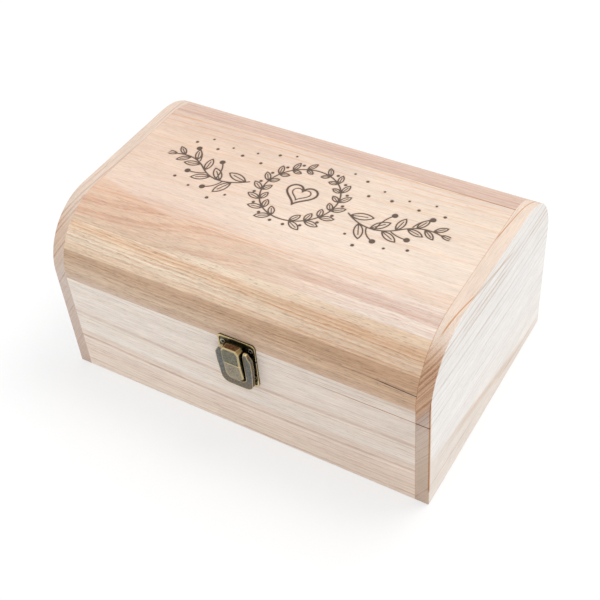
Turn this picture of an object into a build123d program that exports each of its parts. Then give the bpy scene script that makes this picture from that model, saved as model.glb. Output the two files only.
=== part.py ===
# Wooden keepsake box: a round-shouldered lid on two butt hinges, shut by a draw latch.
#
# The box is glued up as one closed carcass of boards and then sawn apart, along the parting line,
# into a base and a lid. X runs along the box, Y from front to back and Z up. The origin is the
# middle of the underside, on the surface that the box stands on. All sizes are millimetres.

from build123d import *
import os

# Carcass
box_length = 300.0  # outside, along X
box_depth = 196.0  # outside, front to back
box_height = 142.0  # standing surface to the flat of the lid
wall = 10.0  # thickness of every board
shoulder_radius = 48.0  # outside radius of the lid's two long edges
parting_height = 81.0  # height of the saw cut between base and lid
strip_height = 11.0  # upright lid strip, saw cut to shoulder board
top_board_depth = 108.0  # middle board of the lid, joint to joint
bottom_thickness = 4.0
rebate_depth = 5.0  # how far the bottom panel reaches under each wall
panel_gap = 0.1  # bottom panel to the end of its rebate
edge_round = 0.8  # sanded outer edges
parting_chamfer = 0.2  # eased edges along the saw cut

# Screws
screw_radius = 1.1
screw_head_radius = 2.1
screw_bite = 8.0  # length of shank in the wood
screw_gap = 0.05  # shank to its hole, all round
pan_head_height = 0.4
pan_head_round = 0.15
cross_span = 2.9  # across the cross recess
cross_width = 0.6
cross_depth = 0.3

# Butt hinges
hinge_inset = 65.0  # end of the box to the middle of a hinge
hinge_length = 30.0
hinge_leaf_height = 12.0  # pin axis to the far edge of a leaf
hinge_leaf_thickness = 1.0
hinge_pin_radius = 0.8
hinge_knuckle_radius = 1.6
hinge_wood_gap = 0.15  # knuckle to the back of the box
hinge_knuckle_gap = 0.2  # between neighbouring knuckles, and knuckle to the other leaf
hinge_screw_spacing = 20.0
hinge_screw_drop = 7.0  # pin axis to the screws of each leaf
hinge_corner_radius = 1.5

# Latch plates
latch_x = 7.0  # middle of the latch, measured from the middle of the box
latch_width = 29.8
plate_sheet = 0.8
plate_rim_height = 1.2  # front of the raised rim above the wood
plate_rim_width = 1.3
plate_corner_radius = 3.0
plate_rim_round = 0.4  # worn outer edge of the rim
plate_seam_gap = 0.2  # between the two plates, halved by the parting line
hook_plate_rise = 15.0  # parting line to its upper edge
base_plate_drop = 25.2  # parting line to its lower edge
plate_screw_spacing = 22.0
hook_plate_screw_rise = 9.0
base_plate_screw_drop = 17.0
pivot_rise = 7.0  # lever pivot above the parting line
pivot_out = 4.3  # lever pivot in front of the wood
pin_radius = 0.8
pin_gap = 0.05  # running clearance, all round
side_gap = 0.2  # between parts that turn past each other
ear_thickness = 1.0
ear_radius = 1.6
ear_foot = 10.0  # height of the ear's root on the base plate
rivet_head_radius = 1.3
rivet_head_height = 0.4

# Latch lever, drawn on its own leaning face with the pivot as origin
lever_lean = 2.5  # degrees that its top leans out
lever_sheet = 0.8
lever_nose_radius = 2.75  # front face to pivot axis
lever_top = 2.6  # pivot to its flattened top edge
lever_edge_depth = 3.0  # depth of its turned-back edge
lever_reach = 33.4  # pivot to lower edge
lever_half_width = 14.1  # at its widest
lever_widest_drop = 12.0  # pivot to its widest place
lever_foot_half_width = 12.3
lever_foot_radius = 6.3
lever_waist_radius = 12.0
lever_shoulder_half_width = 10.9  # where the slanted shoulders start
lever_shoulder_drop = 3.0  # where the slanted shoulders end
lever_shoulder_rounds = (1.6, 3.0)  # at the two ends of the slant
lever_opening_half_width = 8.1
lever_opening_drop = 26.8  # pivot to the lower edge of the opening
lever_opening_radius = 4.8
lug_radius = 1.7

# Latch catch
catch_half_width = 7.0
catch_sheet = 0.9
catch_pin_drop = 11.0  # lever pivot to catch pin
catch_pin_back = 1.5  # catch pin behind the lever pivot
catch_top = 13.9  # parting line to its upper front edge
catch_top_out = 10.2
catch_shoulder = 10.5  # parting line to the start of its cut corners
catch_crown_half_width = 4.7  # between the cut corners
catch_ridge_drop = 1.2  # parting line to the ridge across its face
catch_ridge_out = 9.6
catch_bottom_drop = 19.0
catch_bottom_out = 7.2
catch_bottom_radius = 6.2
catch_back_out = 4.0  # open back, and back of its hooking lip
catch_roof_fall = 1.3  # how far the roof slopes down to the back
catch_lip_drop = 2.0  # depth of the lip below the roof's back edge
catch_bevel = 0.75

# Hook on the lid's plate
hook_half_width = 4.5
hook_thickness = 0.9
hook_gap = 0.2  # lip to the top of the hook's tip
hook_tip_gap = 0.4  # lip to the hook's tip
hook_tip_height = 1.0
hook_root_height = 4.8

# Worked out from the sizes above
inner_length = box_length - 2 * wall
panel_depth = box_depth - 2 * (wall - rebate_depth)
front_y = -box_depth / 2
back_y = box_depth / 2
joint_height = parting_height + strip_height
pilot_radius = screw_radius + screw_gap
bore_radius = pin_radius + pin_gap
hinge_axis_out = hinge_knuckle_radius + hinge_wood_gap
hinge_positions = {"left": hinge_inset - box_length / 2, "right": box_length / 2 - hinge_inset}
pivot_height = parting_height + pivot_rise
catch_pin_height = pivot_height - catch_pin_drop
catch_pin_out = pivot_out - catch_pin_back
hook_screw_points = [
    (side * plate_screw_spacing / 2, parting_height + hook_plate_screw_rise) for side in (-1, 1)
]
base_screw_points = [
    (side * plate_screw_spacing / 2, parting_height - base_plate_screw_drop) for side in (-1, 1)
]
hook_plate_bottom = parting_height + plate_seam_gap / 2
base_plate_top = parting_height - plate_seam_gap / 2
lug_inner = lever_opening_half_width
lug_outer = lug_inner + lever_sheet
ear_inner = lug_outer + side_gap
ear_outer = ear_inner + ear_thickness
rivet_inner = lug_inner - side_gap
pivot_point = (pivot_out, pivot_height)
catch_pin_point = (catch_pin_out, catch_pin_height)
lug_middle = ((pivot_out + catch_pin_out) / 2, (pivot_height + catch_pin_height) / 2)
catch_top_height = parting_height + catch_top
catch_roof_back_height = catch_top_height - catch_roof_fall
catch_bottom_height = parting_height - catch_bottom_drop
lip_bottom = catch_roof_back_height - catch_lip_drop
saddle_height = lip_bottom - hook_gap - hook_tip_height
hook_tip_back = catch_back_out + catch_sheet + hook_tip_gap
hook_tip_front = hook_tip_back + hook_thickness


os.makedirs("parts", exist_ok=True)


def write(piece, name):
    """Label a finished piece and write it to its own file."""
    piece.part.label = name
    export_step(piece.part, f"parts/{name}.step")


def front_plane(out=0.0):
    """Plane on the front of the box at the latch, X right and Y up, facing forward."""
    return Plane(origin=(latch_x, front_y - out, 0), x_dir=(1, 0, 0), z_dir=(0, -1, 0))


def back_plane(x=0.0, out=0.0):
    """Plane on the back of the box, Y up, facing backward."""
    return Plane(origin=(x, back_y + out, 0), x_dir=(-1, 0, 0), z_dir=(0, 1, 0))


def side_plane(x=0.0):
    """Upright plane across the latch: X is the distance in front of the wood and Y the height."""
    return Plane(origin=(latch_x + x, front_y, 0), x_dir=(0, -1, 0), z_dir=(-1, 0, 0))


# ------------------------------------------------------------------ wooden boards


def dome(depth, height, radius):
    """Section of the closed box: upright sides, two quarter-round shoulders and a flat top."""
    half = depth / 2
    spring = height - radius
    with BuildSketch() as section:
        with BuildLine():
            Line((-half, 0), (-half, spring))
            CenterArc((-half + radius, spring), radius, 90, 90)
            Line((-half + radius, height), (half - radius, height))
            CenterArc((half - radius, spring), radius, 0, 90)
            Line((half, spring), (half, 0))
            Line((half, 0), (-half, 0))
        make_face()
    return section.sketch


def pilot_holes(plane, points):
    """Solids to cut from the wood behind a plane, one for each screw."""
    with BuildPart() as holes:
        with BuildSketch(plane):
            with Locations(*points):
                Circle(pilot_radius)
        extrude(amount=-screw_bite - screw_gap)
    return holes.part


def hinge_screw_points(x, direction):
    """Screws of one hinge leaf, below (-1) or above (1) the pin, on the back of the box."""
    height = parting_height + direction * hinge_screw_drop
    return [(-x + side * hinge_screw_spacing / 2, height) for side in (-1, 1)]


def hinge_pilot_holes(direction):
    """Solids to cut for the screws of both hinges in one panel."""
    points = [point for x in hinge_positions.values() for point in hinge_screw_points(x, direction)]
    return pilot_holes(back_plane(), points)


def ease_end(panel, side, cut_level):
    """Round an end panel's outer edges, and ease the ones on the saw cut, which are its lowest (0) or
    its highest (-1)."""
    cut_edges = panel.edges().group_by(Axis.Z)[cut_level]
    rounded = panel.faces().sort_by(Axis.X)[min(-side, 0)].edges() - cut_edges
    if cut_level == -1:
        rounded += panel.edges().filter_by(Axis.X).group_by(Axis.Z)[0]
    fillet(rounded, edge_round)
    cut_edges = panel.edges().group_by(Axis.Z)[cut_level]
    glue_edge = cut_edges.sort_by(lambda edge: side * edge.center().X)[0]
    chamfer(cut_edges - [glue_edge], parting_chamfer)


def ease_long_edge(panel, level, amount, operation):
    """Round or chamfer the outer one of a long board's lowest (0) or highest (-1) edges."""
    edges = panel.edges().filter_by(Axis.X).group_by(Axis.Z)[level]
    operation(edges.sort_by(lambda edge: abs(edge.center().Y))[-1], amount)


for name, side in (("left", -1), ("right", 1)):
    with BuildPart() as base_end:
        with BuildSketch(Plane.YZ.offset(side * box_length / 2)):
            Rectangle(box_depth, parting_height, align=(Align.CENTER, Align.MIN))
        extrude(amount=-side * wall)
        ease_end(base_end, side, -1)
        with BuildSketch(Plane.YZ.offset(side * inner_length / 2)):
            Rectangle(panel_depth, bottom_thickness, align=(Align.CENTER, Align.MIN))
        extrude(amount=side * rebate_depth, mode=Mode.SUBTRACT)
    write(base_end, f"base_{name}_end")

    with BuildPart() as lid_end:
        with BuildSketch(Plane.YZ.offset(side * box_length / 2)):
            add(dome(box_depth, box_height, shoulder_radius))
            Rectangle(
                box_depth, parting_height, align=(Align.CENTER, Align.MIN), mode=Mode.SUBTRACT
            )
        extrude(amount=-side * wall)
        ease_end(lid_end, side, 0)
    write(lid_end, f"lid_{name}_end")

for name, side in (("front", -1), ("back", 1)):
    with BuildPart() as base_panel:
        with BuildSketch(Plane.YZ.offset(-inner_length / 2)):
            with Locations((side * (box_depth - wall) / 2, 0)):
                Rectangle(wall, parting_height, align=(Align.CENTER, Align.MIN))
            Rectangle(
                panel_depth, bottom_thickness, align=(Align.CENTER, Align.MIN), mode=Mode.SUBTRACT
            )
        extrude(amount=inner_length)
        ease_long_edge(base_panel, 0, edge_round, fillet)
        ease_long_edge(base_panel, -1, parting_chamfer, chamfer)
        if side < 0:
            add(pilot_holes(front_plane(), base_screw_points), mode=Mode.SUBTRACT)
        else:
            add(hinge_pilot_holes(-1), mode=Mode.SUBTRACT)
    write(base_panel, f"base_{name}_panel")

with BuildPart() as base_bottom_panel:
    Box(
        inner_length + 2 * (rebate_depth - panel_gap),
        panel_depth - 2 * panel_gap,
        bottom_thickness,
        align=(Align.CENTER, Align.CENTER, Align.MIN),
    )
write(base_bottom_panel, "base_bottom_panel")


def lid_board(name, y_range, z_range, screw_holes=None):
    """One board of the lid between the ends: what its shell has in a Y range and a Z range. A board
    that takes screws is one that meets the saw cut."""
    with BuildPart() as board:
        with BuildSketch(Plane.YZ.offset(-inner_length / 2)):
            add(dome(box_depth, box_height, shoulder_radius))
            add(
                dome(box_depth - 2 * wall, box_height - wall, shoulder_radius - wall),
                mode=Mode.SUBTRACT,
            )
            with Locations((y_range[0], z_range[0])):
                Rectangle(
                    y_range[1] - y_range[0],
                    z_range[1] - z_range[0],
                    align=(Align.MIN, Align.MIN),
                    mode=Mode.INTERSECT,
                )
        extrude(amount=inner_length)
        if screw_holes:
            ease_long_edge(board, 0, parting_chamfer, chamfer)
            add(screw_holes, mode=Mode.SUBTRACT)
    write(board, name)


strip_heights = (parting_height, joint_height)
upper_heights = (joint_height, box_height)
half_top = top_board_depth / 2
lid_board("lid_front_strip", (front_y, 0), strip_heights, pilot_holes(front_plane(), hook_screw_points))
lid_board("lid_back_strip", (0, back_y), strip_heights, hinge_pilot_holes(1))
lid_board("lid_front_shoulder", (front_y, -half_top), upper_heights)
lid_board("lid_back_shoulder", (half_top, back_y), upper_heights)
lid_board("lid_top_board", (-half_top, half_top), upper_heights)


# ------------------------------------------------------------------ screws


def wood_screws(name, plane, points, seat, countersunk):
    """Cross-head screws through a plate that lies on a plane of the wood. The head of a countersunk
    screw ends flush with the plate, seat above the wood, and a pan head stands on it."""
    top = seat if countersunk else seat + pan_head_height
    with BuildPart() as screws:
        with BuildSketch(plane.offset(-screw_bite)):
            with Locations(*points):
                Circle(screw_radius)
        extrude(amount=screw_bite + seat)
        with BuildSketch(plane.offset(seat)):
            with Locations(*points):
                Circle(screw_head_radius)
        if countersunk:
            extrude(amount=screw_radius - screw_head_radius, taper=45)
        else:
            extrude(amount=pan_head_height)
            head_tops = screws.faces().sort_by(Axis(plane.origin, plane.z_dir))[-len(points) :]
            fillet(head_tops.edges(), pan_head_round)
        with BuildSketch(plane.offset(top)):
            with Locations(*points):
                Rectangle(cross_span, cross_width)
                Rectangle(cross_width, cross_span)
        extrude(amount=-cross_depth, mode=Mode.SUBTRACT)
    write(screws, name)


# ------------------------------------------------------------------ hinges


def hinge_leaf(name, x, direction, own_knuckles, other_knuckles):
    """Leaf below (-1) or above (1) the pin, with its own knuckles and notches for the other's."""
    notch = hinge_knuckle_radius + hinge_knuckle_gap
    with BuildPart() as leaf:
        with BuildSketch(back_plane(x)) as outline:
            with Locations((0, parting_height + direction * hinge_leaf_height / 2)):
                Rectangle(hinge_length, hinge_leaf_height)
            far_corners = outline.vertices().sort_by(Axis.Y, reverse=direction > 0)[:2]
            fillet(far_corners, hinge_corner_radius)
            for start, end in other_knuckles:
                with Locations((-(start + end) / 2, parting_height)):
                    Rectangle(end - start + 2 * hinge_knuckle_gap, 2 * notch, mode=Mode.SUBTRACT)
        extrude(amount=hinge_leaf_thickness)
        for start, end in own_knuckles:
            with BuildSketch(Plane.YZ.offset(x + start)):
                with Locations((back_y + hinge_axis_out, parting_height)):
                    Circle(hinge_knuckle_radius)
            extrude(amount=end - start)
        with BuildSketch(Plane.YZ.offset(x - hinge_length / 2)):
            with Locations((back_y + hinge_axis_out, parting_height)):
                Circle(hinge_pin_radius + pin_gap)
        extrude(amount=hinge_length, mode=Mode.SUBTRACT)
        with Locations(back_plane(0, hinge_leaf_thickness)):
            with Locations(*hinge_screw_points(x, direction)):
                CounterSinkHole(pilot_radius, screw_head_radius + screw_gap, counter_sink_angle=90)
    write(leaf, name)


knuckle_length = (hinge_length - 2 * hinge_knuckle_gap) / 3
outer_knuckles = [
    (-hinge_length / 2, -hinge_length / 2 + knuckle_length),
    (hinge_length / 2 - knuckle_length, hinge_length / 2),
]
middle_knuckle = [(-knuckle_length / 2, knuckle_length / 2)]

for side_name, x in hinge_positions.items():
    prefix = f"{side_name}_hinge"
    hinge_leaf(f"{prefix}_base_leaf", x, -1, outer_knuckles, middle_knuckle)
    hinge_leaf(f"{prefix}_lid_leaf", x, 1, middle_knuckle, outer_knuckles)
    with BuildPart() as hinge_pin:
        with BuildSketch(Plane.YZ.offset(x - hinge_length / 2)):
            with Locations((back_y + hinge_axis_out, parting_height)):
                Circle(hinge_pin_radius)
        extrude(amount=hinge_length)
    write(hinge_pin, f"{prefix}_pin")
    for leaf_name, direction in (("base", -1), ("lid", 1)):
        wood_screws(
            f"{prefix}_{leaf_name}_screws",
            back_plane(),
            hinge_screw_points(x, direction),
            hinge_leaf_thickness,
            countersunk=True,
        )


# ------------------------------------------------------------------ latch plates


def latch_plate(near, far, screw_points):
    """Dished plate from its edge at the seam to its far edge, square at the seam and round at its
    far corners, with holes for its screws."""
    upward = far > near
    height = abs(far - near)
    middle = (near + far) / 2
    rim_shift = -plate_rim_width if upward else plate_rim_width
    with BuildPart() as plate:
        with BuildSketch(front_plane()) as outline:
            with Locations((0, middle)):
                Rectangle(latch_width, height)
            fillet(outline.vertices().sort_by(Axis.Y, reverse=upward)[:2], plate_corner_radius)
        extrude(amount=plate_rim_height)
        rim = plate.faces().sort_by(Axis.Y)[0].edges()
        fillet(rim - rim.filter_by_position(Axis.Z, near, near), plate_rim_round)
        with BuildSketch(front_plane(plate_sheet)) as recess:
            with Locations((0, middle + rim_shift)):
                Rectangle(latch_width - 2 * plate_rim_width, height)
            recess_corners = recess.vertices().sort_by(Axis.Y, reverse=upward)[:2]
            fillet(recess_corners, plate_corner_radius - plate_rim_width)
        extrude(amount=plate_rim_height, mode=Mode.SUBTRACT)
        with BuildSketch(front_plane()):
            with Locations(*screw_points):
                Circle(pilot_radius)
        extrude(amount=plate_rim_height, mode=Mode.SUBTRACT)
    return plate.part


with BuildPart() as latch_hook_plate:
    add(latch_plate(hook_plate_bottom, parting_height + hook_plate_rise, hook_screw_points))
    with BuildSketch(side_plane()):
        with BuildLine():
            Polyline(
                (plate_sheet / 2, saddle_height - hook_root_height),
                (hook_tip_front, saddle_height - hook_thickness),
                (hook_tip_front, saddle_height + hook_tip_height),
                (hook_tip_back, saddle_height + hook_tip_height),
                (hook_tip_back, saddle_height),
                (plate_sheet / 2, saddle_height),
                close=True,
            )
        make_face()
    extrude(amount=hook_half_width, both=True)
write(latch_hook_plate, "latch_hook_plate")

with BuildPart() as latch_base_plate:
    add(latch_plate(base_plate_top, parting_height - base_plate_drop, base_screw_points))
    for side in (-1, 1):
        with BuildSketch(side_plane(side * ear_inner)):
            with BuildLine():
                Polyline(
                    (plate_sheet / 2, base_plate_top - ear_foot),
                    (pivot_out + ear_radius, pivot_height),
                    (pivot_out - ear_radius, pivot_height),
                    (pivot_out - ear_radius, base_plate_top),
                    (plate_sheet / 2, base_plate_top),
                    close=True,
                )
            make_face()
            with Locations(pivot_point):
                Circle(ear_radius)
                Circle(bore_radius, mode=Mode.SUBTRACT)
        extrude(amount=-side * ear_thickness)
write(latch_base_plate, "latch_base_plate")

for plate_name, points in (("hook", hook_screw_points), ("base", base_screw_points)):
    wood_screws(f"latch_{plate_name}_plate_screws", front_plane(), points, plate_sheet, countersunk=False)


# ------------------------------------------------------------------ latch lever


with BuildPart() as latch_lever_rivets:
    for side in (-1, 1):
        with BuildSketch(side_plane(side * rivet_inner)):
            with Locations(pivot_point):
                Circle(pin_radius)
        extrude(amount=-side * (ear_outer - rivet_inner))
        with BuildSketch(side_plane(side * ear_outer)):
            with Locations(pivot_point):
                Circle(rivet_head_radius)
        extrude(amount=-side * rivet_head_height)
write(latch_lever_rivets, "latch_lever_rivets")

# The lever's face leans, so its outlines lie on a plane through the pivot that leans with it, and
# its side profile on a plane across that one, X toward its face and Y up along it.
lean = Plane(origin=(latch_x, front_y - pivot_out, pivot_height), x_dir=(1, 0, 0), z_dir=(0, -1, 0))
lean = lean.rotated((lever_lean, 0, 0))
lean_side = Plane(origin=lean.origin, x_dir=lean.z_dir, z_dir=(-1, 0, 0))


def lever_outline():
    """Outline of the lever on its leaning face."""
    with BuildSketch() as outline:
        with BuildLine():
            right_half = FilletPolyline(
                (0, lever_top),
                (lever_shoulder_half_width, lever_top),
                (lever_half_width, -lever_shoulder_drop),
                (lever_half_width, -lever_widest_drop),
                (lever_foot_half_width, -lever_reach),
                (0, -lever_reach),
                radius=[*lever_shoulder_rounds, lever_waist_radius, lever_foot_radius],
            )
            mirror(right_half, about=Plane.YZ)
        make_face()
    return outline.sketch


def lever_opening(grow=0.0):
    """Opening between the lever's arms, which is open at the top, or one grown by a distance."""
    top = 2 * lever_nose_radius
    bottom = -lever_opening_drop - grow
    with BuildSketch() as opening:
        with Locations((0, bottom)):
            Rectangle(2 * (lug_inner + grow), top - bottom, align=(Align.CENTER, Align.MIN))
        fillet(opening.vertices().sort_by(Axis.Y)[:2], lever_opening_radius + grow)
    return opening.sketch


def rolled_body(outline, nose_radius):
    """Body of an outline, from the turned-back edge to a face in front of the pivot, with its top
    rolled about the pivot."""
    with BuildPart() as body:
        with BuildSketch(lean.offset(lever_nose_radius - lever_edge_depth)):
            add(outline)
        extrude(amount=nose_radius - lever_nose_radius + lever_edge_depth)
        with BuildSketch(lean_side):
            Circle(nose_radius)
            Rectangle(2 * nose_radius, 2 * lever_reach, align=(Align.CENTER, Align.MAX))
        extrude(amount=2 * lever_half_width, both=True, mode=Mode.INTERSECT)
    return body.part


with BuildSketch() as lever_hollow:
    add(lever_outline())
    offset(amount=-lever_sheet, mode=Mode.REPLACE)
    add(lever_opening(lever_sheet), mode=Mode.SUBTRACT)

with BuildPart() as latch_lever:
    add(rolled_body(lever_outline(), lever_nose_radius))
    add(rolled_body(lever_hollow.sketch, lever_nose_radius - lever_sheet), mode=Mode.SUBTRACT)
    with BuildSketch(lean.offset(-lever_edge_depth)):
        add(lever_opening())
    extrude(amount=2 * lever_edge_depth, mode=Mode.SUBTRACT)
    for side in (-1, 1):
        with BuildSketch(side_plane(side * lug_inner)):
            SlotCenterPoint(lug_middle, catch_pin_point, 2 * lug_radius)
        extrude(amount=-side * lever_sheet)
    with BuildSketch(side_plane()):
        with Locations(pivot_point, catch_pin_point):
            Circle(bore_radius)
    extrude(amount=lug_outer, both=True, mode=Mode.SUBTRACT)
write(latch_lever, "latch_lever")


# ------------------------------------------------------------------ latch catch


with BuildPart() as latch_catch_pin:
    with BuildSketch(side_plane()):
        with Locations(catch_pin_point):
            Circle(pin_radius)
    extrude(amount=lug_outer, both=True)
write(latch_catch_pin, "latch_catch_pin")


def catch_block(inset=0.0):
    """Solid block of the catch's outline, or one that lies inside it by a distance all round."""
    with BuildPart() as block:
        with BuildSketch(side_plane()):
            with BuildLine():
                Polyline(
                    (catch_top_out, catch_top_height),
                    (catch_ridge_out, parting_height - catch_ridge_drop),
                    (catch_bottom_out, catch_bottom_height),
                    (catch_bottom_out - catch_sheet, catch_bottom_height),
                    (catch_back_out, catch_pin_height),
                    (catch_back_out, catch_roof_back_height),
                    close=True,
                )
            make_face()
            if inset:
                offset(amount=-inset, kind=Kind.INTERSECTION, mode=Mode.REPLACE)
        extrude(amount=catch_half_width - inset, both=True)
        with BuildSketch(front_plane()):
            with BuildLine():
                right_half = FilletPolyline(
                    (0, catch_top_height),
                    (catch_crown_half_width, catch_top_height),
                    (catch_half_width, parting_height + catch_shoulder),
                    (catch_half_width, catch_bottom_height),
                    (0, catch_bottom_height),
                    radius=[0, 0, catch_bottom_radius],
                )
                mirror(right_half, about=Plane.YZ)
            make_face()
            if inset:
                offset(amount=-inset, kind=Kind.INTERSECTION, mode=Mode.REPLACE)
        extrude(amount=2 * catch_top_out, mode=Mode.INTERSECT)
    return block.part


with BuildPart() as latch_catch:
    add(catch_block())
    facets = latch_catch.faces().filter_by(lambda face: face.normal_at().Y < -0.9)
    ridge = [edge for edge in facets[0].edges() if edge in facets[1].edges()]
    chamfer((facets[0].edges() + facets[1].edges()) - ridge, catch_bevel)
    for side in (-1, 1):
        with BuildSketch(side_plane(side * (catch_half_width - catch_sheet))):
            with Locations(catch_pin_point):
                Circle(lug_radius)
                Rectangle(
                    catch_back_out + catch_sheet - catch_pin_out,
                    2 * lug_radius,
                    align=(Align.MIN, Align.CENTER),
                )
        extrude(amount=-side * catch_sheet)
    add(catch_block(catch_sheet), mode=Mode.SUBTRACT)
    with BuildSketch(side_plane()):
        with Locations((0, catch_bottom_height)):
            Rectangle(
                catch_back_out + catch_sheet,
                lip_bottom - catch_bottom_height,
                align=(Align.MIN, Align.MIN),
            )
    extrude(amount=catch_half_width - catch_sheet, both=True, mode=Mode.SUBTRACT)
    with BuildSketch(side_plane()):
        with Locations(catch_pin_point):
            Circle(bore_radius)
    extrude(amount=catch_half_width, both=True, mode=Mode.SUBTRACT)
write(latch_catch, "latch_catch")
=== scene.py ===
"""Looks for the keepsake box: sanded paulownia boards, a burnt line drawing carved into the lid, and
an antique brass draw latch and hinges. Lengths are in millimetres until a mesh or a node takes them.
X runs along the box, Y from front to back and Z up, with the origin under the middle of the box."""

import math

import bpy
import numpy as np
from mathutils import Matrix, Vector


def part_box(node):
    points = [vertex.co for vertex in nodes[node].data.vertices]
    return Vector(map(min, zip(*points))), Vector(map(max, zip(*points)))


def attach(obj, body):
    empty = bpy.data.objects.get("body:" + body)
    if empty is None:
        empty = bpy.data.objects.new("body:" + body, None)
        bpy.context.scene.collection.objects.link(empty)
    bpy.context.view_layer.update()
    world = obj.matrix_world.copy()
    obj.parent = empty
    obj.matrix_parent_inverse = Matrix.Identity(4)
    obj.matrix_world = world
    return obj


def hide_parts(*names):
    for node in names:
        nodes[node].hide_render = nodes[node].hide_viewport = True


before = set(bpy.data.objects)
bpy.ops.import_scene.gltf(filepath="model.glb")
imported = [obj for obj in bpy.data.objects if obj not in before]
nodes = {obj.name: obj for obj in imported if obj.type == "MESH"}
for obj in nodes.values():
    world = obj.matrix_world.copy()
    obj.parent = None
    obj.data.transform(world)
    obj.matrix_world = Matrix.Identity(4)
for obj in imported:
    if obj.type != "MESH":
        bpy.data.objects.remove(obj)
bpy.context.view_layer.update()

MM = 0.001
ALONG = Vector((1, 0, 0))
BACK = Vector((0, 1, 0))
UP = Vector((0, 0, 1))
SLANT = Vector((0, 1, 1)).normalized()


# ------------------------------------------------------------------ node work


def linear(colour):
    """sRGB hex colour as linear RGBA."""
    parts = np.array([int(colour[i : i + 2], 16) for i in (1, 3, 5)]) / 255
    curved = ((parts + 0.055) / 1.055) ** 2.4
    return (*np.where(parts <= 0.04045, parts / 12.92, curved), 1.0)


def add(tree, kind, inputs=None, **settings):
    """Adds a shader node with its settings. An input takes a value, a socket or a node's result.
    Inputs that share a name go by number: a Map Range has its value at 0, the range it comes from
    at 1 and 2 and the range it goes to at 3 and 4; a Mix has its share at 0, then two numbers at 2
    and 3 or two colours at 6 and 7."""
    made = tree.nodes.new("ShaderNode" + kind)
    for name, value in settings.items():
        setattr(made, name, value)
    for name, value in (inputs or {}).items():
        if isinstance(value, bpy.types.Node):
            value = next(socket for socket in value.outputs if socket.enabled)
        if isinstance(value, bpy.types.NodeSocket):
            tree.links.new(value, made.inputs[name])
        else:
            made.inputs[name].default_value = value
    return made


def start_material(name):
    """Empty node material."""
    material = bpy.data.materials.new(name)
    material.use_nodes = True
    material.node_tree.nodes.clear()
    return material, material.node_tree


def fill_ramp(ramp, stops):
    """Gives a colour ramp its stops, pairs of place (0 to 1) and linear RGBA, in rising order."""
    elements = ramp.color_ramp.elements
    while len(elements) > 1:
        elements.remove(elements[-1])
    elements[0].position, elements[0].color = stops[0]
    for place, colour in stops[1:]:
        elements.new(place).color = colour


# ------------------------------------------------------------------ wood


# sizes in mm of the patterns in the wood: along the grain, across it and through the board
wander_size = (120, 36, 36)
patch_size = (60, 8, 8)
cloud_size = (55, 11, 11)
fibre_size = (14, 0.6, 0.6)  # real fibres are too fine to show, so these are drawn coarser
pore_size = (4.5, 0.36, 0.36)  # the open tubes are 0.2 to 0.3 mm wide, and drawn a little coarser
drift_span = 80.0  # mm of drift from the bottom to the top of its curve
late_wood_end = 0.35  # how sharply a growth line ends, as a share of its width
least_step = 0.0005  # between two stops of a ramp


def band_stops(bands, low, high):
    """Ramp stops of colour bands, pairs of growth height in mm and sRGB hex."""
    return [((mm - low) / (high - low), linear(colour)) for mm, colour in bands]


def line_stops(lines, low, high):
    """Ramp stops of the growth lines: each darkens over its width and ends sharply, as the wood
    of late summer does."""
    stops = [(0.0, (0, 0, 0, 1))]
    for mm, strength, width in sorted(lines):
        for place, value in ((mm - width, 0), (mm, strength), (mm + late_wood_end * width, 0)):
            share = max((place - low) / (high - low), stops[-1][0] + least_step)
            stops.append((share, (value, value, value, 1)))
    return stops


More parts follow.
